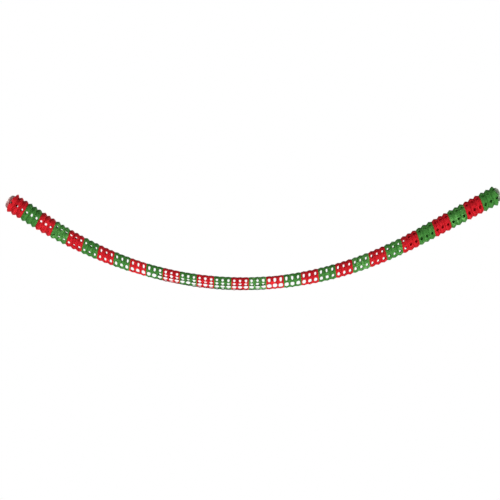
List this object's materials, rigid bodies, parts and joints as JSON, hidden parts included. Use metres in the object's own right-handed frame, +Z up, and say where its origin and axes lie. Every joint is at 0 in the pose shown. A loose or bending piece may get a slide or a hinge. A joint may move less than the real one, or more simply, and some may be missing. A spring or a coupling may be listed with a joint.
{
  "type": "tissue paper garland",
  "caption": "Hanging garland of die-cut tissue drawn open into a lattice tube of arched lobes, red and green by turns, between two round end cards.",
  "frame": {"origin": "middle of the left end card's outer face, where the garland is hung", "axes": "+X along the span towards the right end card, +Y away from the viewer, +Z up"},
  "size_m": [3.4629, 0.1303, 0.7185],
  "materials": {
    "red_tissue": "thin dyed tissue, matt, a little see-through",
    "green_tissue": "thin dyed tissue, matt, a little see-through",
    "white_card": "uncoated white card, matt"
  },
  "bodies": {
    "root": {"left_end_card": "white_card", "tissue_red_01": "red_tissue", "tissue_green_02": "green_tissue", "tissue_red_03": "red_tissue", "tissue_green_04": "green_tissue", "tissue_red_05": "red_tissue", "tissue_green_06": "green_tissue", "tissue_red_07": "red_tissue", "tissue_green_08": "green_tissue", "tissue_red_09": "red_tissue", "tissue_green_10": "green_tissue", "tissue_red_11": "red_tissue", "tissue_green_12": "green_tissue", "tissue_red_13": "red_tissue", "tissue_green_14": "green_tissue", "tissue_red_15": "red_tissue", "tissue_green_16": "green_tissue", "tissue_red_17": "red_tissue", "tissue_green_18": "green_tissue", "tissue_red_19": "red_tissue", "tissue_green_20": "green_tissue", "tissue_red_21": "red_tissue", "tissue_green_22": "green_tissue", "tissue_red_23": "red_tissue", "tissue_green_24": "green_tissue", "tissue_red_25": "red_tissue", "tissue_green_26": "green_tissue", "tissue_red_27": "red_tissue", "tissue_green_28": "green_tissue", "tissue_red_29": "red_tissue", "tissue_green_30": "green_tissue", "right_end_card": "white_card"}
  },
  "joints": []
}
